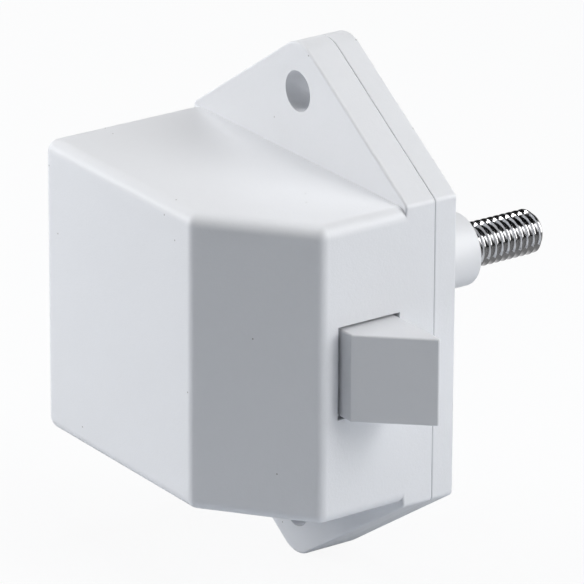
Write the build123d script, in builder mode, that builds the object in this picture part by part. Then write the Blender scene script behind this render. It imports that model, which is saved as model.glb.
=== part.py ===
"""A push-button latch for a door: case, front plate, plunger with a threaded stud, yoke and sprung bolt.

The origin is midway between the two screws, on the face that lies against the door.
+X is the way the bolt shoots, +Y points out through the door along the plunger, and +Z runs from ear to ear.
"""
import os

from build123d import *

# Case: alike on both sides of the screws, its depth measured from the mounting face
case_width = 46.0
case_height = 39.0
case_depth = 30.3
corner_x = 13.2
corner_start = 2.7
case_wall = 2.0
case_round = 1.7

# Flange with its two ears, and the front plate of the same outline
flange_step = 0.25
flange_thick = 4.35
plate_thick = 3.25
screw_spacing = 55.7
screw_hole = 5.3
ear_radius = 4.3
ear_reach = 2.05
outline_round = 0.8
flange_round = 0.3
seam_round = 0.2
lip_depth = 1.5
lip_wall = 1.4

# Bolt: its flat face holds the strike, its bevel meets it when the door is shut
bolt_throw = 9.1
bolt_thick = 8.35
bolt_height = 11.4
bolt_face = 8.8
bolt_lift = 0.25
bolt_lead = 2.05
nose_land = 0.4
bolt_round = 0.28
slot_play = 0.75
slot_gap = 0.4
stop_thick = 1.8
stop_rim = 1.0

# Plunger and stud
plunger_x = -3.45
collar_diameter = 9.7
collar_end = 20.3
collar_round = 0.5
stud_diameter = 5.9
stud_end = 31.75
stud_chamfer = 0.7
neck_diameter = 5.0
neck_length = 2.0
anchor_diameter = 6.8
anchor_length = 8.0
block_rim = 0.7
block_wall = 1.25
peg_diameter = 3.0
peg_inset = 4.1

# Yoke
yoke_thick = 2.2
yoke_margin = 1.9
bridge_thick = 1.8
bridge_width = 4.8
lug_width = 2.6
lug_thick = 1.8
lug_root = 2.9
spigot_diameter = 2.4
spigot_length = 3.7

# Springs and the locking wire
wire_sides = 8
plunger_coil = 5.6
plunger_wire = 0.8
plunger_turns = 6
plunger_bore_depth = 20.0
plunger_spigot = 2.4
bolt_coil = 3.8
bolt_wire = 0.5
bolt_turns = 6
bolt_bore_depth = 6.0
follower_wire_diameter = 1.1
follower_bend = 1.2
follower_anchor = 5.3
follower_reach = 1.3

# Clearances
fit_gap = 0.15
slide_gap = 0.2
free_gap = 0.4

# Heart-shaped locking groove
groove_depth = 1.6
groove_lane = 1.8
groove_spread = 2.6
groove_front = 3.2
groove_flare = 5.2
notch_rise = 0.6
notch_width = 1.1
press_over = 1.2

# Places worked out from the sizes above
ear_z = screw_spacing / 2
tip_z = ear_z + ear_reach
case_side = case_width / 2
inner_side = case_side - case_wall
inner_back = case_depth - case_wall
inner_height = case_height - 2 * case_wall
flange_height = case_height + 2 * flange_step
slot_height = bolt_height + slot_play
bolt_back = bolt_face + bolt_thick
corner_y = case_depth - bolt_back - corner_start
bolt_tip = case_side + bolt_throw
stop_right = inner_side - slide_gap
stop_left = stop_right - stop_thick
lug_left = stop_left - slide_gap - lug_thick
block_left = collar_diameter / 2 + block_rim
block_right = plunger_x + plunger_coil / 2 + fit_gap + block_wall
block_height = bolt_height + 2 * (stop_rim + block_rim)
block_front = plate_thick + bolt_throw + slide_gap
block_back = inner_back - free_gap
bridge_left = block_right + bolt_throw + free_gap
bridge_right = bridge_left + bridge_thick
bolt_press = stop_left - bridge_right - slide_gap
peg_depth = block_back - peg_inset
yoke_inner = block_height / 2 + free_gap
yoke_outer = yoke_inner + yoke_thick
peg_reach = yoke_outer - slide_gap
bridge_front = bolt_face + lug_width + 2 * slide_gap
spring_depth = bridge_front + bridge_width / 2
follower_tip = block_front + groove_front
follower_run = plunger_x - block_left - follower_wire_diameter / 2 - free_gap
follower_inner = plunger_x - block_left + follower_reach
anchor_depth = plate_thick + lip_depth + free_gap + follower_anchor / 2
bolt_middle = bolt_face + bolt_thick / 2
lug_depth = bolt_face + slide_gap + lug_width / 2
stud_axis = Axis((plunger_x, 0, 0), (0, 1, 0))


def plate_outline():
    """Outline of the flange and the front plate: a rectangle and two ears that reach past the screws."""
    Rectangle(case_width, flange_height)
    with Locations((0, tip_z), (0, -tip_z)):
        Circle(ear_radius)
    make_hull()


def case_plan(front):
    """Plan of the case from above: a box with one slanted corner, starting at depth front."""
    Polygon(
        (-case_side, -front),
        (-case_side, -case_depth),
        (case_side - corner_x, -case_depth),
        (case_side, -case_depth + corner_y),
        (case_side, -front),
        align=None,
    )


def stud_root():
    """Half profile of the stud's neck and anchor below the collar's end."""
    neck_end = collar_end - neck_length
    with Locations((plunger_x, neck_end)):
        Rectangle(neck_diameter / 2, neck_length, align=(Align.MIN, Align.MIN))
        Rectangle(anchor_diameter / 2, anchor_length, align=(Align.MIN, Align.MAX))


def coil_spring(coil_diameter, wire_diameter, turns, start, length, direction):
    """One coil spring from its start point, with both ends inside the given length."""
    centre = Vector(start) + Vector(direction) * (wire_diameter / 2)
    height = length - wire_diameter
    radius = (coil_diameter - wire_diameter) / 2
    with BuildPart() as spring:
        with BuildLine() as path:
            Helix(height / turns, height, radius, center=centre, direction=direction)
        with BuildSketch(Plane(origin=path.line @ 0, z_dir=path.line % 0)):
            RegularPolygon(wire_diameter / 2, side_count=wire_sides)
        sweep(is_frenet=True)
    return spring


os.makedirs("parts", exist_ok=True)

# Box of the case, rounded on every edge but the open front
with BuildPart() as case_box:
    with BuildSketch(Plane.XY):
        case_plan(plate_thick + flange_thick / 2)
    extrude(amount=case_height / 2, both=True)
    open_face = case_box.faces().sort_by(Axis.Y)[-1]
    fillet(case_box.edges() - open_face.edges(), radius=case_round)

# Case: flange with ears, hollow box, bolt slot, rails for the yoke, seats for a spring and the wire
with BuildPart() as case:
    with BuildSketch(Plane.XZ.offset(plate_thick)):
        plate_outline()
    extrude(amount=flange_thick)
    fillet(case.edges().filter_by(Axis.Y), radius=outline_round)
    fillet(case.faces().sort_by(Axis.Y)[-1].edges(), radius=seam_round)
    fillet(case.faces().sort_by(Axis.Y)[0].edges(), radius=flange_round)
    add(case_box.part)
    with BuildSketch(Plane.XZ.offset(plate_thick)):
        with Locations((0, ear_z), (0, -ear_z)):
            Circle(screw_hole / 2)
    extrude(amount=flange_thick, mode=Mode.SUBTRACT)
    with BuildSketch(Plane.XY):
        case_plan(plate_thick - case_wall)
        offset(amount=-case_wall, kind=Kind.INTERSECTION, mode=Mode.REPLACE)
    extrude(amount=inner_height / 2, both=True, mode=Mode.SUBTRACT)
    with BuildSketch(Plane.YZ.offset(inner_side)):
        with Locations((-bolt_middle, bolt_lift)):
            Rectangle(bolt_thick + 2 * slot_gap, slot_height)
    extrude(amount=case_wall, mode=Mode.SUBTRACT)
    with BuildSketch(Plane.YZ.offset(-inner_side)):
        rail_rise = inner_height / 2 - yoke_outer - slide_gap
        rail_middle = yoke_outer + slide_gap + rail_rise / 2
        with Locations((-spring_depth, rail_middle), (-spring_depth, -rail_middle)):
            Rectangle(bridge_width, rail_rise)
    extrude(amount=2 * inner_side)
    with BuildSketch(Plane.XZ.offset(inner_back)):
        with Locations((plunger_x, 0)):
            Circle((plunger_coil - 2 * plunger_wire) / 2 - fit_gap)
    extrude(amount=-plunger_spigot)
    with BuildSketch(Plane.YZ.offset(-inner_side)):
        with Locations((-anchor_depth, 0)):
            Rectangle(follower_anchor, follower_anchor)
            Circle(follower_wire_diameter / 2, mode=Mode.SUBTRACT)
    extrude(amount=follower_run + inner_side - 2 * follower_bend)

# Front plate with a lip that centres it in the case
with BuildPart() as front_plate:
    with BuildSketch(Plane.XZ):
        plate_outline()
    extrude(amount=plate_thick)
    fillet(front_plate.edges().filter_by(Axis.Y), radius=outline_round)
    fillet(front_plate.faces().sort_by(Axis.Y)[0].edges(), radius=seam_round)
    fillet(front_plate.faces().sort_by(Axis.Y)[-1].edges(), radius=flange_round)
    with BuildSketch(Plane.XZ.offset(plate_thick)):
        lip_width = 2 * inner_side - 2 * fit_gap
        lip_height = inner_height - 2 * fit_gap
        Rectangle(lip_width, lip_height)
        Rectangle(lip_width - 2 * lip_wall, lip_height - 2 * lip_wall, mode=Mode.SUBTRACT)
    extrude(amount=lip_depth)
    with BuildSketch(Plane.XZ):
        with Locations((0, ear_z), (0, -ear_z)):
            Circle(screw_hole / 2)
        with Locations((plunger_x, 0)):
            Circle(collar_diameter / 2 + fit_gap)
    extrude(amount=plate_thick, mode=Mode.SUBTRACT)

# Plunger: round collar, guide block with two cam pegs, spring bore and heart-shaped groove
with BuildPart() as plunger:
    with BuildSketch(Plane.XZ.offset(-collar_end)):
        with Locations((plunger_x, 0)):
            Circle(collar_diameter / 2)
    extrude(amount=collar_end + block_front)
    fillet(plunger.faces().sort_by(Axis.Y)[-1].edges(), radius=collar_round)
    with BuildSketch(Plane.XZ.offset(block_front)):
        with Locations(((plunger_x - block_left + block_right) / 2, 0)):
            Rectangle(block_right - plunger_x + block_left, block_height)
    extrude(amount=block_back - block_front)
    with BuildSketch(Plane.XY):
        with Locations((plunger_x, -peg_depth)):
            Circle(peg_diameter / 2)
    extrude(amount=peg_reach, both=True)
    with BuildSketch(Plane.XZ.offset(block_back)):
        with Locations((plunger_x, 0)):
            Circle(plunger_coil / 2 + fit_gap)
    extrude(amount=-plunger_bore_depth, mode=Mode.SUBTRACT)
    with BuildSketch(Plane.XY):
        stud_root()
    revolve(axis=stud_axis, mode=Mode.SUBTRACT)
    with BuildSketch(Plane.YZ.offset(plunger_x - block_left)):
        # The outer loop runs from the end stop round both lanes, the island stands in its middle
        lane = groove_lane / 2
        loop_front = -follower_tip + press_over + lane
        loop_back = -follower_tip - bolt_throw
        with Locations((loop_back, 0)):
            Circle(lane)
        Polygon(
            (loop_back, -lane),
            (loop_back + groove_flare, -groove_spread - lane),
            (loop_front - lane, -groove_spread - lane),
            (loop_front, -lane),
            (loop_front, lane),
            (loop_front - lane, groove_spread + lane),
            (loop_back + groove_flare, groove_spread + lane),
            (loop_back, lane),
            align=None,
        )
        notch = -follower_tip - follower_wire_diameter / 2 - fit_gap
        island_half = groove_spread - lane
        Polygon(
            (loop_back + groove_lane, 0),
            (loop_back + groove_flare, -island_half),
            (notch, -island_half),
            (notch + notch_rise, -notch_width),
            (notch, 0),
            (notch + notch_rise, notch_width),
            (notch, island_half),
            (loop_back + groove_flare, island_half),
            align=None,
            mode=Mode.SUBTRACT,
        )
    extrude(amount=groove_depth, mode=Mode.SUBTRACT)

# Steel stud: its free end takes the push button, its neck and anchor are held in the plunger
with BuildPart() as threaded_stud:
    with BuildSketch(Plane.XY):
        stud_root()
    revolve(axis=stud_axis)
    with BuildSketch(Plane.XZ.offset(-collar_end)):
        with Locations((plunger_x, 0)):
            Circle(stud_diameter / 2)
    extrude(amount=collar_end - stud_end)
    chamfer(threaded_stud.faces().sort_by(Axis.Y)[-1].edges(), length=stud_chamfer)

# Bolt: bevelled head, stop behind the slot, two lugs in the yoke's windows and a bore for its spring
with BuildPart() as latch_bolt:
    with BuildSketch(Plane.XY.offset(bolt_lift)):
        Polygon(
            (stop_left, -bolt_back),
            (case_side + bolt_lead, -bolt_back),
            (bolt_tip, -bolt_face - nose_land),
            (bolt_tip, -bolt_face),
            (stop_left, -bolt_face),
            align=None,
        )
    extrude(amount=bolt_height / 2, both=True)
    inner_end = latch_bolt.faces().sort_by(Axis.X)[0]
    fillet(latch_bolt.edges() - inner_end.edges(), radius=bolt_round)
    with BuildSketch(Plane.YZ.offset(stop_left)):
        with Locations((-bolt_middle, bolt_lift)):
            Rectangle(bolt_thick + 2 * stop_rim, bolt_height + 2 * stop_rim)
    extrude(amount=stop_thick)
    with BuildSketch(Plane.YZ.offset(lug_left)):
        for side in (1, -1):
            with Locations((-lug_depth, side * (lug_root + peg_reach) / 2)):
                Rectangle(lug_width, peg_reach - lug_root)
    extrude(amount=lug_thick)
    with BuildSketch(Plane.YZ.offset(lug_left + lug_thick)):
        arm_top = bolt_height / 2 + stop_rim - bolt_lift
        for side in (1, -1):
            with Locations((-lug_depth, side * (lug_root + arm_top) / 2)):
                Rectangle(lug_width, arm_top - lug_root)
    extrude(amount=stop_left - lug_left - lug_thick)
    with BuildSketch(Plane.YZ.offset(stop_left)):
        with Locations((-spring_depth, bolt_lift)):
            Circle(bolt_coil / 2 + fit_gap)
    extrude(amount=bolt_bore_depth, mode=Mode.SUBTRACT)

# Yoke: two plates with slanted slots for the pegs and windows for the bolt's lugs, joined by a bridge
with BuildPart() as drive_yoke:
    with BuildSketch(Plane.XY.offset(yoke_inner)):
        slot_width = peg_diameter + 2 * slide_gap
        reach = slot_width / 2 + yoke_margin
        tail_back = bridge_front + bridge_width
        cam_foot = plunger_x + reach
        Polygon(
            (plunger_x - reach, -peg_depth - reach),
            (cam_foot, -peg_depth - reach),
            (cam_foot + peg_depth + reach - tail_back, -tail_back),
            (stop_right, -tail_back),
            (stop_right, -bolt_face + yoke_margin),
            (plunger_x - reach + peg_depth - reach - bolt_face + yoke_margin, -bolt_face + yoke_margin),
            (plunger_x - reach, -peg_depth + reach),
            align=None,
        )
        slot_middle = (plunger_x + bolt_throw / 2, -peg_depth + bolt_throw / 2)
        SlotCenterPoint(slot_middle, (plunger_x, -peg_depth), slot_width, mode=Mode.SUBTRACT)
        window_left = lug_left - bolt_press - slide_gap
        window_right = lug_left + lug_thick + slide_gap
        with Locations(((window_left + window_right) / 2, -lug_depth)):
            Rectangle(window_right - window_left, lug_width + 2 * slide_gap, mode=Mode.SUBTRACT)
    extrude(amount=yoke_thick)
    mirror(about=Plane.XY)
    with BuildSketch(Plane.YZ.offset(bridge_left)):
        with Locations((-spring_depth, 0)):
            Rectangle(bridge_width, 2 * yoke_inner)
    extrude(amount=bridge_thick)
    with BuildSketch(Plane.YZ.offset(bridge_right)):
        with Locations((-spring_depth, bolt_lift)):
            Circle(spigot_diameter / 2)
    extrude(amount=spigot_length)

# Springs: one behind the plunger, one between the yoke and the bolt
plunger_spring = coil_spring(
    plunger_coil, plunger_wire, plunger_turns,
    start=(plunger_x, -inner_back, 0),
    length=inner_back - block_back + plunger_bore_depth,
    direction=(0, 1, 0),
)
bolt_spring = coil_spring(
    bolt_coil, bolt_wire, bolt_turns,
    start=(bridge_right, -spring_depth, bolt_lift),
    length=stop_left + bolt_bore_depth - bridge_right,
    direction=(1, 0, 0),
)

# Locking wire: one end held in the case, the other bent into the groove
with BuildPart() as follower_wire:
    with BuildLine() as wire_path:
        FilletPolyline(
            (-inner_side, -anchor_depth, 0),
            (follower_run, -anchor_depth, 0),
            (follower_run, -follower_tip, 0),
            (follower_inner, -follower_tip, 0),
            radius=follower_bend,
        )
    with BuildSketch(Plane(origin=wire_path.line @ 0, z_dir=wire_path.line % 0)):
        Circle(follower_wire_diameter / 2)
    sweep()

pieces = {
    "case": case,
    "front_plate": front_plate,
    "plunger": plunger,
    "threaded_stud": threaded_stud,
    "latch_bolt": latch_bolt,
    "drive_yoke": drive_yoke,
    "plunger_spring": plunger_spring,
    "bolt_spring": bolt_spring,
    "follower_wire": follower_wire,
}
for name, piece in pieces.items():
    piece.part.label = name
    export_step(piece.part, f"parts/{name}.step")
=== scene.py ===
import math

import bmesh
import bpy
from mathutils import Matrix, Vector


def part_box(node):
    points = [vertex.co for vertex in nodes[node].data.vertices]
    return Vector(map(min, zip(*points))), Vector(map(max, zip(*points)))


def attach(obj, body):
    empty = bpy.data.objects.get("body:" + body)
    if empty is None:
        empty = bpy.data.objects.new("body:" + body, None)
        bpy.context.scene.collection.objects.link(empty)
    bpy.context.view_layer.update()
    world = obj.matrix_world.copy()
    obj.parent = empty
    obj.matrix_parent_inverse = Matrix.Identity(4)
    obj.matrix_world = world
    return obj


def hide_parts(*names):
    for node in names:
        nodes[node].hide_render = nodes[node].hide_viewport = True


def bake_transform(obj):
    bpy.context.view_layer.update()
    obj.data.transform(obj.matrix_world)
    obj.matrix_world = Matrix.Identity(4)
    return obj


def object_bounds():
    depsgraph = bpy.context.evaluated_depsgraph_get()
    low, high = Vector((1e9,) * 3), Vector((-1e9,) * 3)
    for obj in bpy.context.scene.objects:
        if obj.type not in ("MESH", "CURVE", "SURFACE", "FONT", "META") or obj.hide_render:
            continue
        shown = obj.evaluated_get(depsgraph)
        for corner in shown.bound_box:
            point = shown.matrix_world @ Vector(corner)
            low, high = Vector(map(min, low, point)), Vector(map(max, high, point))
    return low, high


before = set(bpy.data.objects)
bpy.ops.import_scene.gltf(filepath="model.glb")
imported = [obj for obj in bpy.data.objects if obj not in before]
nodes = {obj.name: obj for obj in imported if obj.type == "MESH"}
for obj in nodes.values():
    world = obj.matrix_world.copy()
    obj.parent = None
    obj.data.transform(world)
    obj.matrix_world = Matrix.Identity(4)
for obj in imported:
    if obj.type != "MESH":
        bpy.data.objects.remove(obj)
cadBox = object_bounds()
scene = bpy.context.scene
print("frame loaded with", len(nodes), "nodes")


# A socket to reckon with: every operator adds a Math node
class Value:
    def __init__(self, graph, socket):
        self.graph = graph
        self.socket = socket

    def calc(self, operation, other):
        return self.graph.add("ShaderNodeMath", {"operation": operation}, {0: self, 1: other})

    def __add__(self, other):
        return self.calc("ADD", other)

    def __mul__(self, other):
        return self.calc("MULTIPLY", other)

    def __gt__(self, other):
        return self.calc("GREATER_THAN", other)

    def __lt__(self, other):
        return self.calc("LESS_THAN", other)

    __radd__ = __add__
    __rmul__ = __mul__


class Graph:
    def __init__(self, tree):
        self.tree = tree
        tree.nodes.clear()

    # settings go in first, because some of them change the sockets
    def add(self, kind, settings=None, inputs=None, out=0):
        node = self.tree.nodes.new(kind)
        for key, value in (settings or {}).items():
            setattr(node, key, value)
        for key, value in (inputs or {}).items():
            if isinstance(value, Value):
                self.tree.links.new(value.socket, node.inputs[key])
            else:
                node.inputs[key].default_value = value
        return Value(self, node.outputs[out]) if node.outputs else None

    def place(self):
        return self.add("ShaderNodeTexCoord", out="Object")

    def noise(self, place, scale, detail, rough):
        return self.add("ShaderNodeTexNoise", {"noise_dimensions": "3D"},
                        {"Vector": place, "Scale": scale, "Detail": detail, "Roughness": rough})

    # the colour sockets of a Mix node are found by number, since its names repeat
    def mix(self, factor, first, second):
        return self.add("ShaderNodeMix", {"data_type": "RGBA"}, {0: factor, 6: first, 7: second}, out=2)

    def ramp(self, value, low, high, start, end):
        return self.add("ShaderNodeMapRange", {"interpolation_type": "SMOOTHSTEP"},
                        {"Value": value, "From Min": low, "From Max": high, "To Min": start, "To Max": end})

    def bump(self, distance, height):
        return self.add("ShaderNodeBump", None, {"Strength": 1.0, "Distance": distance, "Height": height})

    def finish(self, shader):
        self.add("ShaderNodeOutputMaterial", None, {"Surface": shader})


def newMaterial(name):
    material = bpy.data.materials.new(name)
    material.use_nodes = True
    return material, Graph(material.node_tree)


def rgb(red, green, blue):
    return (red, green, blue, 1.0)


plainWhite = rgb(1, 1, 1)

# White moulding: eroded grain from the mould, slow tone drift, a few dark specks in the granulate
# drift, mottle and grain are a noise's scale, detail and roughness
mouldedWhite = {
    "tone": (0.785, 0.797, 0.822), "shade": (0.752, 0.764, 0.790), "driftShare": 0.6,
    "drift": (55.0, 3.0, 0.5), "mottle": (1100.0, 3.0, 0.6), "grain": (3600.0, 4.0, 0.65),
    "speck": (0.30, 0.29, 0.28), "speckDepth": 0.8, "speckScale": 420.0, "speckSize": 0.045, "speckShare": 0.70,
    "grainHeight": 0.000022, "mottleBump": 0.6, "rough": 0.40, "roughSpread": 0.12, "level": 0.5, "ior": 1.5,
}
smoothWhite = dict(mouldedWhite, grainHeight=0.000004, rough=0.34, speckShare=0.85,
                   tone=(0.74, 0.749, 0.767), shade=(0.713, 0.723, 0.743))
boltWhite = dict(smoothWhite, tone=(0.735, 0.745, 0.768), shade=(0.708, 0.719, 0.743))
naturalWhite = dict(smoothWhite, tone=(0.77, 0.765, 0.735), shade=(0.74, 0.735, 0.70), rough=0.36)


def plastic(name, look):
    material, g = newMaterial(name)
    place = g.place()
    drift, mottle, grain = (g.noise(place, *look[part]) for part in ("drift", "mottle", "grain"))
    blend = drift * look["driftShare"] + mottle * (1 - look["driftShare"])
    tone = g.mix(blend, rgb(*look["shade"]), rgb(*look["tone"]))
    # one speck at most in each cell, and only in the cells that are picked
    cell = {"Vector": place, "Scale": look["speckScale"]}
    near = g.add("ShaderNodeTexVoronoi", {"feature": "F1"}, cell, out="Distance")
    pick = g.add("ShaderNodeTexVoronoi", {"feature": "F1"}, cell, out="Color")
    chance = g.add("ShaderNodeSeparateColor", None, {"Color": pick}, out="Red")
    speck = (near < look["speckSize"]) * (chance > look["speckShare"])
    colour = g.mix(speck * look["speckDepth"], tone, rgb(*look["speck"]))
    spread = look["roughSpread"]
    rough = mottle * spread + grain * spread + (look["rough"] - spread)
    g.finish(g.add("ShaderNodeBsdfPrincipled", None, {
        "Base Color": colour, "Roughness": rough,
        "Normal": g.bump(look["grainHeight"], grain + mottle * look["mottleBump"]),
        "IOR": look["ior"], "Specular IOR Level": look["level"],
    }))
    return material


# Steel: fine lines round the stud, or an even brush on wire, and a light haze
# lines and haze are noises too
brightSteel = {"tone": (0.79, 0.79, 0.80), "dull": (0.63, 0.63, 0.64), "rough": 0.06, "roughSpread": 0.10,
               "scratch": (700.0, 9000.0, 700.0), "lines": (1.0, 3.0, 0.6), "lineHeight": 0.0000015,
               "haze": (450.0, 2.0, 0.5), "hazeShare": 0.6}
drawnWire = dict(brightSteel, tone=(0.58, 0.58, 0.59), dull=(0.44, 0.44, 0.45), rough=0.26,
                 scratch=(2500.0, 2500.0, 2500.0))


def steel(name, look):
    material, g = newMaterial(name)
    place = g.place()
    drawn = g.add("ShaderNodeMapping", None, {"Vector": place, "Scale": look["scratch"]})
    lines = g.noise(drawn, *look["lines"])
    haze = g.noise(place, *look["haze"])
    g.finish(g.add("ShaderNodeBsdfPrincipled", None, {
        "Base Color": g.mix(haze * look["hazeShare"], rgb(*look["tone"]), rgb(*look["dull"])),
        "Roughness": lines * look["roughSpread"] + look["rough"],
        "Normal": g.bump(look["lineHeight"], lines), "Metallic": 1.0,
    }))
    return material


finishes = {
    "case": plastic("case_white", mouldedWhite),
    "front_plate": plastic("plate_white", mouldedWhite),
    "plunger": plastic("plunger_white", smoothWhite),
    "latch_bolt": plastic("bolt_white", boltWhite),
    "drive_yoke": plastic("yoke_white", naturalWhite),
    "follower_wire": steel("locking_wire", drawnWire),
}
studSteel = steel("stud_steel", brightSteel)
springSteel = steel("spring_steel", drawnWire)
print("finishes made")

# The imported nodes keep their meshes; rounded edges are shaded smooth, square ones stay crisp
edges = {"weld": 0.000001, "sharp": math.radians(50)}


def shadeNode(name, material):
    node = nodes[name]
    node.data.materials.clear()
    node.data.materials.append(material)
    node.data.polygons.foreach_set("use_smooth", [True] * len(node.data.polygons))
    weld = node.modifiers.new("weld", "WELD")
    weld.merge_threshold = edges["weld"]
    split = node.modifiers.new("crisp", "EDGE_SPLIT")
    split.split_angle = edges["sharp"]
    split.use_edge_sharp = False
    weight = node.modifiers.new("flat", "WEIGHTED_NORMAL")
    weight.mode = "FACE_AREA"
    weight.keep_sharp = True


for name, material in finishes.items():
    shadeNode(name, material)
print("nodes shaded:", ", ".join(finishes))


def makePiece(name, bm, material):
    bmesh.ops.recalc_face_normals(bm, faces=bm.faces)
    mesh = bpy.data.meshes.new(name)
    bm.to_mesh(mesh)
    bm.free()
    mesh.polygons.foreach_set("use_smooth", [True] * len(mesh.polygons))
    mesh.materials.append(material)
    piece = bpy.data.objects.new(name, mesh)
    scene.collection.objects.link(piece)
    return piece


# Rolled thread of the stud: one pitch of the profile is rounded and turned along the axis, then cut and chamfered
# the neck and the wider anchor below it are moulded into the plunger
stud = {
    "axisX": -0.00345, "start": 0.0203, "end": 0.03175, "pitch": 0.001, "crest": 0.00295, "root": 0.00240,
    "flankAngle": math.radians(30), "crestRound": 0.00014, "crestCuts": 7, "rootRound": 0.00008, "rootCuts": 3,
    "steps": 72, "spareTurns": 2, "weld": 0.000002, "chamfer": 0.0007, "endSlack": 0.0000001, "sharp": math.radians(32),
    "neck": 0.00236, "neckEnd": 0.0183, "anchor": 0.0034, "anchorEnd": 0.0103,
}


def armFrom(axis, point):
    arm = point - axis
    arm.y = 0.0
    return arm


# A wire of straight lines along one pitch, with its tip and both root corners rounded
def threadProfile(bm, s, axis):
    pitch, root = s["pitch"], s["root"]
    first = s["start"] - s["spareTurns"] * pitch
    tip = s["crest"] + s["crestRound"]  # where the two flanks would meet
    half = (tip - root) * math.tan(s["flankAngle"])
    profile = ((0.0, root), (pitch / 2 - half, root), (pitch / 2, tip), (pitch / 2 + half, root), (pitch, root))
    points = [bm.verts.new(axis + Vector((0.0, first + along, r))) for along, r in profile]
    for pair in zip(points, points[1:]):
        bm.edges.new(pair)
    lean = math.pi / 2 - s["flankAngle"]
    tips, roots = points[2:3], points[1:4:2]
    for corners, radius, turn, cuts in ((tips, s["crestRound"], lean, s["crestCuts"]),
                                        (roots, s["rootRound"], lean / 2, s["rootCuts"])):
        bmesh.ops.bevel(bm, geom=corners, offset=radius * math.tan(turn), offset_type="OFFSET", segments=cuts,
                        profile=0.5, affect="VERTICES", material=-1)


def threadedStud(s):
    bm = bmesh.new()
    pitch, axis = s["pitch"], Vector((s["axisX"], 0.0, 0.0))
    threadProfile(bm, s, axis)
    turns = math.ceil((s["end"] - s["start"]) / pitch) + 2 * s["spareTurns"]
    bmesh.ops.spin(bm, geom=bm.verts[:] + bm.edges[:], cent=axis, axis=(0, 1, 0), dvec=(0, pitch / s["steps"], 0),
                   angle=2 * math.pi * turns, steps=s["steps"] * turns, use_merge=False)
    bmesh.ops.remove_doubles(bm, verts=bm.verts, dist=s["weld"])
    for at, way in ((s["start"], -1), (s["end"], 1)):
        bmesh.ops.bisect_plane(bm, geom=bm.verts[:] + bm.edges[:] + bm.faces[:], plane_co=(0, at, 0),
                               plane_no=(0, way, 0), clear_outer=True)
    lead = s["crest"] - s["chamfer"]
    for vert in bm.verts:  # chamfered end: no point stands outside its cone
        arm = armFrom(axis, vert.co)
        most = lead + s["end"] - vert.co.y
        if arm.length > most:
            vert.co -= arm.normalized() * (arm.length - most)
    atEnd = s["end"] - s["endSlack"]
    rim = [e for e in bm.edges if e.is_boundary and all(v.co.y > atEnd for v in e.verts)]
    bmesh.ops.edgeloop_fill(bm, edges=rim)
    low = [e for e in bm.edges if e.is_boundary]
    for radius, at in ((s["neck"], s["start"]), (s["neck"], s["neckEnd"]), (s["anchor"], s["neckEnd"]),
                       (s["anchor"], s["anchorEnd"])):
        grown = bmesh.ops.extrude_edge_only(bm, edges=low)["geom"]
        for vert in (v for v in grown if isinstance(v, bmesh.types.BMVert)):
            vert.co = axis + armFrom(axis, vert.co).normalized() * radius + Vector((0.0, at, 0.0))
        low = [e for e in grown if isinstance(e, bmesh.types.BMEdge)]
    bmesh.ops.edgeloop_fill(bm, edges=low)
    piece = makePiece("threaded_stud_m6", bm, studSteel)
    split = piece.modifiers.new("crisp", "EDGE_SPLIT")
    split.split_angle = s["sharp"]
    weight = piece.modifiers.new("flat", "WEIGHTED_NORMAL")
    weight.keep_sharp = True
    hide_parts("threaded_stud")
    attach(piece, "plunger")
    return piece


studPiece = threadedStud(stud)
print("stud thread made:", len(studPiece.data.polygons), "faces")

# Round wire springs with closed end turns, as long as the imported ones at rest
plungerSpring = {"node": "plunger_spring", "axis": 1, "wire": 0.0008, "turns": 8, "bodies": ("case", "plunger")}
boltSpring = {"node": "bolt_spring", "axis": 0, "wire": 0.0005, "turns": 7, "bodies": ("yoke", "bolt")}
winding = {"steps": 40, "sides": 12, "endTurns": 1.0, "weld": 0.00000001}


def coilSpring(s):
    low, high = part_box(s["node"])
    along = Vector([1.0 if i == s["axis"] else 0.0 for i in range(3)])
    side = Vector((0.0, 0.0, 1.0))
    middle = (low + high) / 2
    length = (high - low)[s["axis"]]
    coil = ((high - low).z - s["wire"]) / 2  # both springs lie level, so Z is across them
    centre = middle - along * (length / 2 - s["wire"] / 2)
    endRise = winding["endTurns"] * s["wire"]
    openRise = length - s["wire"] - 2 * endRise
    bm = bmesh.new()
    facing = Matrix((side, along, side.cross(along))).transposed().to_4x4()
    section = bmesh.ops.create_circle(bm, cap_ends=False, radius=s["wire"] / 2, segments=winding["sides"],
                                      matrix=Matrix.Translation(centre + side * coil) @ facing)
    ring = section["verts"] + bm.edges[:]
    closed = (winding["endTurns"], endRise)
    for turns, rise in (closed, (s["turns"], openRise), closed):
        steps = int(winding["steps"] * turns)
        ring = bmesh.ops.spin(bm, geom=ring, cent=centre, axis=along, dvec=along * (rise / steps),
                              angle=2 * math.pi * turns, steps=steps, use_merge=False)["geom_last"]
    bmesh.ops.remove_doubles(bm, verts=bm.verts, dist=winding["weld"])
    bmesh.ops.holes_fill(bm, edges=[e for e in bm.edges if e.is_boundary], sides=winding["sides"])
    piece = makePiece(s["node"] + "_wire", bm, springSteel)
    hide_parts(s["node"])
    ends = along * (length / 2 - s["wire"] * (1 + winding["endTurns"]))
    middle - ends
    middle + ends
    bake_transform(piece)
    return piece


springs = [coilSpring(s) for s in (plungerSpring, boltSpring)]
print("springs wound:", ", ".join(p.name for p in springs))

# Camera at the photograph's place, angles in degrees
view = {"azimuth": 54.50, "elevation": 21.51, "roll": 0.24, "distance": 0.7567, "lens": 371.48, "sensor": 36.0,
        "clip": (0.01, 20.0), "aim": (-0.003837, -0.005661, -0.000415)}


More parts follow.
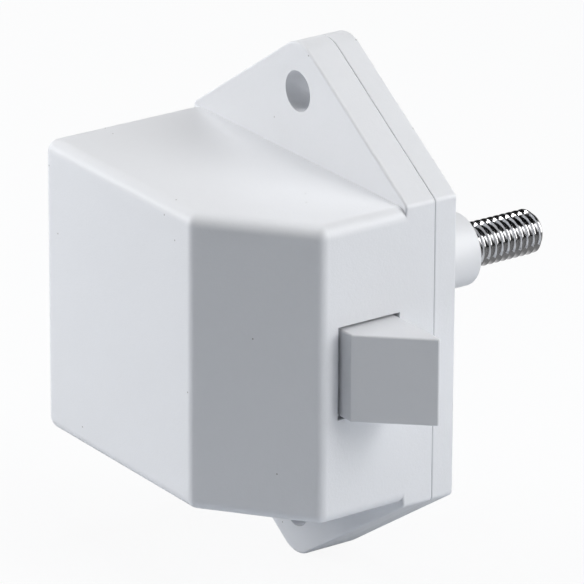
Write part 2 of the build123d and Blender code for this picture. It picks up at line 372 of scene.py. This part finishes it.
def placeCamera(v):
    a, e = math.radians(v["azimuth"]), math.radians(v["elevation"])
    back = Vector((math.sin(a) * math.cos(e), -math.cos(a) * math.cos(e), math.sin(e)))
    data = bpy.data.cameras.new("camera")
    data.lens, data.sensor_width = v["lens"], v["sensor"]
    data.clip_start, data.clip_end = v["clip"]
    camera = bpy.data.objects.new("camera", data)
    scene.collection.objects.link(camera)
    where = back * v["distance"]
    turn = (Vector(v["aim"]) - where).to_track_quat("-Z", "Y").to_matrix()
    turn = turn @ Matrix.Rotation(math.radians(v["roll"]), 3, "Z")
    camera.matrix_world = Matrix.Translation(where) @ turn.to_4x4()
    scene.camera = camera


placeCamera(view)
print("camera placed")

# Soft boxes at both sides and above leave the slanted corner in half shade; only those that shine are mirrored
lamps = {
    "left": {"from": (-0.71, -0.62, 0.33), "far": 0.62, "size": 0.26, "tall": 0.26, "watts": 2.95, "shine": False},
    "right": {"from": (0.76, 0.54, 0.37), "far": 0.62, "size": 0.48, "tall": 0.70, "watts": 2.0, "shine": True},
    "side": {"from": (0.69, 0.63, 0.36), "far": 0.66, "size": 0.48, "tall": 0.70, "watts": 1.4, "shine": False},
    "high": {"from": (0.65, 0.45, 0.62), "far": 0.62, "size": 0.36, "tall": 0.36, "watts": 0.7, "shine": True},
    "top": {"from": (0.0, 0.0, 1.0), "far": 0.62, "size": 0.36, "tall": 0.36, "watts": 1.7, "shine": False},
    "glint": {"from": (-0.66, -0.68, 0.33), "far": 0.60, "size": 0.19, "tall": 0.19, "watts": 0.65, "shine": True},
}
# The white backdrop stands behind the object; in reflections the rest of the room is dark and the near floor grey
studio = {
    "ambient": 0.004, "white": 1.0,
    "backdrop": (-0.78, 0.56, -0.28), "dark": 0.65, "bright": 0.95, "mirrored": 0.5,
    "nearFloor": 0.20, "near": (0.10, 0.26), "floorTone": (0.665, 0.695, 0.74), "floorGlow": 0.92, "floorSize": 3.0,
}


def softBox(name, lamp):
    data = bpy.data.lights.new(name, "AREA")
    data.shape, data.energy = "RECTANGLE", lamp["watts"]
    data.size, data.size_y = lamp["size"], lamp["tall"]
    light = bpy.data.objects.new(name, data)
    scene.collection.objects.link(light)
    light.location = Vector(lamp["from"]).normalized() * lamp["far"]
    light.rotation_euler = (-light.location).to_track_quat("-Z", "Y").to_euler()
    light.visible_glossy = lamp["shine"]


# Whether a ray comes from the camera or from a reflection, and how far it looks towards the backdrop
def lookedAt(g, s, way):
    direct = g.add("ShaderNodeLightPath", out="Is Camera Ray")
    rays = direct.socket.node.outputs
    mirrored = Value(g, rays["Is Glossy Ray"]) + Value(g, rays["Is Transmission Ray"])
    unit = g.add("ShaderNodeVectorMath", {"operation": "NORMALIZE"}, {0: way})
    toward = g.add("ShaderNodeVectorMath", {"operation": "DOT_PRODUCT"}, {0: unit, 1: s["backdrop"]}, out="Value")
    return direct, mirrored, g.ramp(toward, s["dark"], s["bright"], 0.0, s["mirrored"])


def lightStudio(s):
    world = bpy.data.worlds.new("studio")
    world.use_nodes = True
    scene.world = world
    g = Graph(world.node_tree)
    direct, mirrored, behind = lookedAt(g, s, g.add("ShaderNodeTexCoord", out="Generated"))
    strength = (direct + mirrored * behind) * (s["white"] - s["ambient"]) + s["ambient"]
    shade = g.add("ShaderNodeBackground", None, {"Color": plainWhite, "Strength": strength})
    g.add("ShaderNodeOutputWorld", None, {"Surface": shade})


def paleFloor(s):
    material, g = newMaterial("pale_floor")
    place = g.place()
    matte = g.add("ShaderNodeBsdfDiffuse", None, {"Color": rgb(*s["floorTone"])})
    direct, mirrored, behind = lookedAt(g, s, place)
    away = g.add("ShaderNodeVectorMath", {"operation": "LENGTH"}, {0: place}, out="Value")
    near = g.ramp(away, *s["near"], s["nearFloor"], 0.0)
    strength = (direct + mirrored * (behind + near)) * s["white"]
    glow = g.add("ShaderNodeEmission", None, {"Color": plainWhite, "Strength": strength})
    g.finish(g.add("ShaderNodeMixShader", None, {0: direct * s["floorGlow"] + mirrored, 1: matte, 2: glow}))
    bm = bmesh.new()
    bmesh.ops.create_grid(bm, x_segments=1, y_segments=1, size=s["floorSize"],
                          matrix=Matrix.Translation((0.0, 0.0, cadBox[0].z)))
    makePiece("floor", bm, material)


for name, lamp in lamps.items():
    softBox(name, lamp)
lightStudio(studio)
paleFloor(studio)
scene.view_settings.view_transform = "Standard"
print("studio lit")
